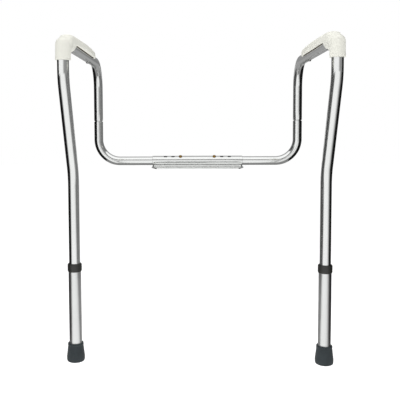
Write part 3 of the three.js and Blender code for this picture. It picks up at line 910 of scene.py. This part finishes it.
def channel(side):
    """A cutter for the shallow recess beside the tube, in the flat underside of the pad."""
    half = CHANNEL_HALF_WIDTH
    start, finish = side.post_y + CHANNEL_START, side.post_y + CHANNEL_END
    outline = round_corners([
        (side.x - half, start, 0),
        (side.x + half, start, 0),
        (side.x + half, finish, 0.006),
        (side.x - half, finish, 0.006),
    ])
    lip = FLOOR_Z + PAD_LIP_HEIGHT
    return flat_piece("channel", outline, lip - 0.02, lip + CHANNEL_DEPTH)


def paint_gap_shade(piece, side):
    """Gives the recess beside the tube the dark brown painted shade of the gap."""
    piece.data.materials.append(GAP_SHADE_PAINT)
    lip = FLOOR_Z + PAD_LIP_HEIGHT
    start, finish = side.post_y + SOCKET_REAR, side.post_y + CHANNEL_END
    for face in piece.data.polygons:
        x, y, z = face.center
        near_tube = math.hypot(x - side.x, z - side.arm_z) < CHANNEL_HALF_WIDTH + 0.0008
        if near_tube and z > lip + 0.0001 and start + 0.0003 < y < finish + 0.0001:
            face.material_index = 1


def make_armrest(side):
    """Socket, elbow and pad fused and rounded into one moulding, then cut out for the tube."""
    name = side.name + "_armrest"
    socket_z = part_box(name)[0][2]
    elbow_path = BentPath(
        [side.at(side.post_y, socket_z), side.at(side.post_y, side.arm_z),
         side.at(side.post_y + SOCKET_REAR, side.arm_z)],
        [ELBOW_BEND_RADIUS],
    )
    flare = [(s, SOCKET_RADIUS + 0.0003 * max(0, 1 - s / 0.02)) for s in elbow_path.stations()]
    elbow = along_path("elbow", elbow_path, flare, X_AXIS, False)
    top = FLOOR_Z + SOCKET_DOME_HEIGHT - socket_z
    dome = turned("dome", [
        (0, 0.001, 0),
        (SOCKET_RADIUS - 0.0001, 0.001, 0),
        (SOCKET_RADIUS - 0.0004, top - 0.0110, 0.0040),
        (SOCKET_RADIUS * 0.84, top - 0.0048, 0.0050),
        (SOCKET_RADIUS * 0.50, top - 0.0008, 0.0060),
        (0, top, 0),
    ], (side.x, side.post_y, socket_z))
    piece = combine(elbow, [dome, pad_solid(side)], "UNION")
    remesh = piece.modifiers.new("skin", "REMESH")
    remesh.mode = "VOXEL"
    remesh.voxel_size = VOXEL
    soften = piece.modifiers.new("soften", "SMOOTH")
    soften.factor = 0.5
    soften.iterations = 6
    apply_modifiers(piece)
    room = rod("room", side.side_path(), MAIN_RADIUS + 0.0002, X_AXIS)
    corners = ((-1, -1), (1, -1), (1, 1), (-1, 1))
    below = [(side.x + TRIM_REACH * x, side.post_y + TRIM_REACH * y) for x, y in corners]
    trim = flat_piece("trim", below, socket_z - TRIM_REACH, socket_z + 0.0004)
    screws = []
    for end in ("front", "rear"):
        low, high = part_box(f"{side.name}_armrest_screw_{end}")
        start = side.at((low[1] + high[1]) / 2, side.arm_z)
        screws.append(drill(start, Z_AXIS, SCREW_HOLE_RADIUS, high[2] - side.arm_z + 0.0003))
    cut(piece, [room, channel(side), trim, *screws])
    place(shade(piece, 50), name, side.name + "_side", ARMREST_PLASTIC)
    paint_gap_shade(piece, side)


def make_side(side):
    make_side_tube(side)
    make_rear_tube(side)
    make_coupler(side)
    make_lower_leg(side)
    make_collar(side)
    make_foot_tip(side)
    in_leg = side.at(side.leg_y, middle(side.name + "_height_button").z)
    make_button(side, "height", in_leg, Y_AXIS)
    make_spring(side, "height", in_leg, Z_AXIS, Y_AXIS)
    in_cross = Vector((middle(side.name + "_width_button").x, side.rear_y, side.cross_z))
    make_button(side, "width", in_cross, WIDTH_BUTTON_AXIS)
    make_spring(side, "width", in_cross, X_AXIS * side.outward, WIDTH_BUTTON_AXIS)
    for end in ("lower", "upper"):
        make_rivet(side, end)
    for end in ("front", "rear"):
        make_screw(side, end)
    make_armrest(side)
    repaint(side.name + "_foot_washer", STEEL)


# ---- Bracket ------------------------------------------------------------------------------------

PLATE_CHAMFER = (0.014, 0.041)
SLOT_CENTRE_X = 0.0615
SLOT_LENGTH = 0.026
SLOT_WIDTH = 0.0085
NEAR_EDGE = 0.001  # how far past a slot's rounded end the centre of one of its faces may lie


def make_sleeve():
    low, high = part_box("bracket_sleeve")
    centre = middle("bracket_sleeve")
    path = BentPath([(low[0], centre.y, centre.z), (high[0], centre.y, centre.z)])
    piece = tube("bracket_sleeve", path, OUTER_RADIUS, OUTER_BORE, SLEEVE_RIM, Y_AXIS)
    cutters = []
    for side, direction in SIDES.items():
        first = middle(side + "_width_button").x
        for i in range(WIDTH_HOLES):
            place_x = first + direction * HOLE_PITCH * i
            hole_centre = (place_x, centre.y, centre.z)
            cutters.append(drill(hole_centre, WIDTH_BUTTON_AXIS, BUTTON_HOLE_RADIUS, DRILL_DEPTH))
    place(shade(cut(piece, cutters)), "bracket_sleeve", "bracket", BRACKET_METAL)

    def in_wall(point, _):
        return math.hypot(point.y - centre.y, point.z - centre.z) < OUTER_RADIUS - 0.0001

    # Painted shade: the sleeve's bore and the walls of its holes get near-black metal
    paint_wall_shade(piece, in_wall)


def make_plate():
    low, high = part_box("mounting_plate")
    across, along = PLATE_CHAMFER
    outline = [
        (low[0], high[1]),
        (low[0], low[1] + along),
        (low[0] + across, low[1]),
        (high[0] - across, low[1]),
        (high[0], low[1] + along),
        (high[0], high[1]),
    ]
    rounded = round_corners([(x, y, 0.002) for x, y in outline], 4)
    piece = flat_piece("mounting_plate", rounded, low[2], high[2], 0.02)
    half, radius = (SLOT_LENGTH - SLOT_WIDTH) / 2, SLOT_WIDTH / 2
    slots = []
    for centre in (-SLOT_CENTRE_X, SLOT_CENTRE_X):
        ring = []
        for i in range(SMALL_SIDES):
            angle = 2 * math.pi * (i + 0.5) / SMALL_SIDES
            reach = math.copysign(half, math.cos(angle))
            ring.append((centre + reach + radius * math.cos(angle), radius * math.sin(angle)))
        slots.append(flat_piece("slot", ring, low[2] - 0.01, high[2] + 0.01))
    cut(piece, slots)
    edge = piece.modifiers.new("edge", "BEVEL")
    edge.width = 0.0004
    edge.segments = 3
    edge.limit_method = "ANGLE"
    edge.angle_limit = math.radians(50)
    apply_modifiers(piece)
    place(shade(piece, 25), "mounting_plate", "bracket", BRACKET_METAL)

    def in_slot_end(point, normal):
        along = abs(abs(point.x) - SLOT_CENTRE_X)
        in_end = half - NEAR_EDGE < along < half + radius + NEAR_EDGE
        return in_end and abs(normal.z) < 0.8 and abs(point.y) < radius + NEAR_EDGE

    # Painted shade: the walls of the slots' rounded ends get near-black metal
    paint_wall_shade(piece, in_slot_end)


def make_weld(name, facing):
    """A fillet weld with the ripples of its overlapping pools."""
    low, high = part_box(name)
    centre = middle("bracket_sleeve")
    base, steps, ripple = low[2] - 0.0003, 320, 0.0028
    sections = []
    for i in range(steps + 1):
        x = low[0] + (high[0] - low[0]) * i / steps
        swell = 1 + 0.10 * abs(math.sin(math.pi * x / ripple))
        ends = min(1, (0.0006 + min(x - low[0], high[0] - x)) / 0.003)
        size = swell * ends
        outline = [(0.0066, 0), (0.0066 + 0.0048 * size, 0), (0.0066 + 0.0046 * size, 0.0009 * size)]
        outline += [(0.0100, 0.0009 + 0.0018 * size), (0.0084 + 0.0014 * size, 0.0036 * size)]
        outline += [(0.0078, 0.0030 * size)]
        sections.append([Vector((x, centre.y + facing * y, base + z)) for y, z in outline])
    place(shade(loft(name, sections), 60), name, "bracket", LEG_METAL)


for side_name in SIDES:
    make_side(SideFrame(side_name))
make_sleeve()
make_plate()
make_weld("plate_weld_front", -1)
make_weld("plate_weld_rear", 1)


# ---- Studio -------------------------------------------------------------------------------------

CARD_Z = GROUND_Z + 0.002
CARD_SPLIT_Y = -0.30  # the front card lies ahead of this and the under card behind it
CARD_REACH = 8
UNDER_CARD_HALF_WIDTH = 3
FLAG_X = 0.62
FLAG_FRONT = -0.48
FLAG_REAR = 0.75
FLAG_TOP = 0.9
NEAR_RAY = 0.76
FAR_RAY = 0.86

# Start, end and last level of the front card's fade to each side, by x over the distance ahead
FRONT_FADES = ((-0.75, -1.6, 0.10), (0.25, 1.5, 0.18))

# Start, end and both levels of the studio's parts, by one part of a ray's direction
REAR_WALL = (-0.15, 0.25, 1.0, 0.30)
RIGHT_WALL = (-0.05, 0.60, 1.0, 0.30)
WALL_TOP = (0.24, 0.38, 0.0, 1.0)
CEILING_EDGE = (0.56, 0.68, 0.0, 1.0)
CEILING = (0.05, 0.40, 1.12, 0.50)
AMBIENT = (-0.6, 0.8, 0.70, 0.54)
GAP_LEVEL = 0.24  # between the walls' top and the ceiling


def reflected_only(piece):
    """Studio furniture that only reflections see."""
    for ray in ("camera", "diffuse", "shadow", "transmission", "volume_scatter"):
        setattr(piece, "visible_" + ray, False)


def level_quad(name, low_x, high_x, low_y, high_y, z):
    corners = [(low_x, low_y, z), (high_x, low_y, z), (high_x, high_y, z), (low_x, high_y, z)]
    return new_piece(name, corners, [(0, 1, 2, 3)])


def glow_by_distance(piece, near, far):
    """Makes a card: `near` is its level in reflections up to NEAR_RAY away, `far` past FAR_RAY."""
    material = bpy.data.materials.new(piece.name)
    material.use_nodes = True
    tree = material.node_tree
    tree.nodes.clear()
    distance = add_node(tree, "LightPath").outputs["Ray Length"]
    links = {"Value": distance, "From Min": NEAR_RAY, "From Max": FAR_RAY, "To Min": near, "To Max": far}
    level = add_node(tree, "MapRange", links).outputs["Result"]
    glow = add_node(tree, "Emission", {"Strength": level}).outputs[0]
    add_node(tree, "OutputMaterial", {"Surface": glow})
    piece.data.materials.append(material)
    reflected_only(piece)


def add_flag(name, x, near, far):
    """A dark upright card beside the frame."""
    low, high = CARD_Z, FLAG_TOP
    corners = [(x, FLAG_FRONT, low), (x, FLAG_REAR, low), (x, FLAG_REAR, high), (x, FLAG_FRONT, high)]
    glow_by_distance(new_piece(name, corners, [(0, 1, 2, 3)]), near, far)


def add_under_card():
    half = UNDER_CARD_HALF_WIDTH
    glow_by_distance(level_quad("under_card", -half, half, CARD_SPLIT_Y, CARD_REACH, CARD_Z), 0.26, 0.36)


def add_front_card():
    """The floor in front, as reflections see it: white ahead of the frame and grey away to each side."""
    piece = level_quad("front_card", -CARD_REACH, CARD_REACH, -CARD_REACH, CARD_SPLIT_Y, CARD_Z)
    paint = Paint("front_card", Roughness=1.0, Specular_IOR_Level=0.0, Base_Color=(0, 0, 0, 1),
                  Emission_Color=(1, 1, 1, 1))
    place_at = paint.node("SeparateXYZ", {0: paint.node("TexCoord").outputs["Object"]}).outputs
    ahead = paint.node("Math", {0: place_at["Y"], 1: -1.0}, operation="MULTIPLY").outputs[0]
    aside = paint.node("Math", {0: place_at["X"], 1: ahead}, operation="DIVIDE").outputs[0]
    levels = [ease(paint.tree, aside, start, end, 1.0, far) for start, end, far in FRONT_FADES]
    both = paint.node("Math", {0: levels[0], 1: levels[1]}, operation="MULTIPLY").outputs[0]
    paint.drive("Emission Strength", both)
    piece.data.materials.append(paint.material)
    reflected_only(piece)


def add_floor():
    """A pale floor where the feet stand on the longest leg setting, so that no pose reaches through it."""
    floor = level_quad("floor", -CARD_REACH, CARD_REACH, -CARD_REACH, CARD_REACH, GROUND_Z)
    paint = Paint("floor_paint", Roughness=0.9, Specular_IOR_Level=0.1, Emission_Strength=0.46,
                  Emission_Color=(1, 1, 1, 1))
    clouds = paint.noise(paint.stretched((0.8, 0.8, 0.8), False), detail=1)
    paint.drive("Base Color", paint.blend(clouds, (0.92, 0.92, 0.92), (0.94, 0.94, 0.94)))
    floor.data.materials.append(paint.material)


def add_area(name, place_at, target, size, power):
    """A square soft light that shows in no reflection."""
    data = bpy.data.lights.new(name, "AREA")
    data.shape = "RECTANGLE"
    data.size = data.size_y = size
    data.energy = power
    lamp = bpy.data.objects.new(name, data)
    lamp.location = place_at
    lamp.rotation_mode = "QUATERNION"
    lamp.rotation_quaternion = (Vector(target) - Vector(place_at)).to_track_quat("-Z", "Y")
    lamp.visible_glossy = False
    bpy.context.scene.collection.objects.link(lamp)


def add_world():
    """White to the eye, soft white for light, and a studio with a dark rear for reflections."""
    world = bpy.data.worlds.new("studio")
    world.use_nodes = True
    bpy.context.scene.world = world
    tree = world.node_tree
    tree.nodes.clear()

    def mix(factor, first, second):
        return add_node(tree, "Mix", {0: factor, 2: first, 3: second}, data_type="FLOAT").outputs[0]

    generated = add_node(tree, "TexCoord").outputs["Generated"]
    heading = add_node(tree, "SeparateXYZ", {0: generated}).outputs
    rear = ease(tree, heading["Y"], *REAR_WALL)
    right = ease(tree, heading["X"], *RIGHT_WALL)
    walls = add_node(tree, "Math", {0: rear, 1: right}, operation="MULTIPLY").outputs[0]
    above_walls = ease(tree, heading["Z"], *WALL_TOP)
    in_ceiling = ease(tree, heading["Z"], *CEILING_EDGE)
    overhead = ease(tree, heading["Y"], *CEILING)
    reflected = mix(in_ceiling, mix(above_walls, walls, GAP_LEVEL), overhead)
    glossy = add_node(tree, "Background", {"Color": reflected, "Strength": 1.0}).outputs[0]
    rays = add_node(tree, "LightPath").outputs
    plain_strength = mix(rays["Is Camera Ray"], ease(tree, heading["X"], *AMBIENT), 1.0)
    plain = add_node(tree, "Background", {"Color": (1, 1, 1, 1), "Strength": plain_strength}).outputs[0]
    shown = add_node(tree, "MixShader", {0: rays["Is Glossy Ray"], 1: plain, 2: glossy}).outputs[0]
    add_node(tree, "OutputWorld", {"Surface": shown})


add_floor()
add_flag("flag_left", -FLAG_X, near=0.006, far=0.07)
add_flag("flag_right", FLAG_X, near=0.006, far=0.20)
add_under_card()
add_front_card()
add_world()
add_area("key", place_at=(-0.2, -1.0, 1.5), target=(0, -0.2, 0.1), size=1.0, power=7)
add_area("top", place_at=(0, -0.1, 1.5), target=(0, -0.1, 0), size=0.9, power=6.5)
bpy.context.scene.view_settings.view_transform = "Standard"
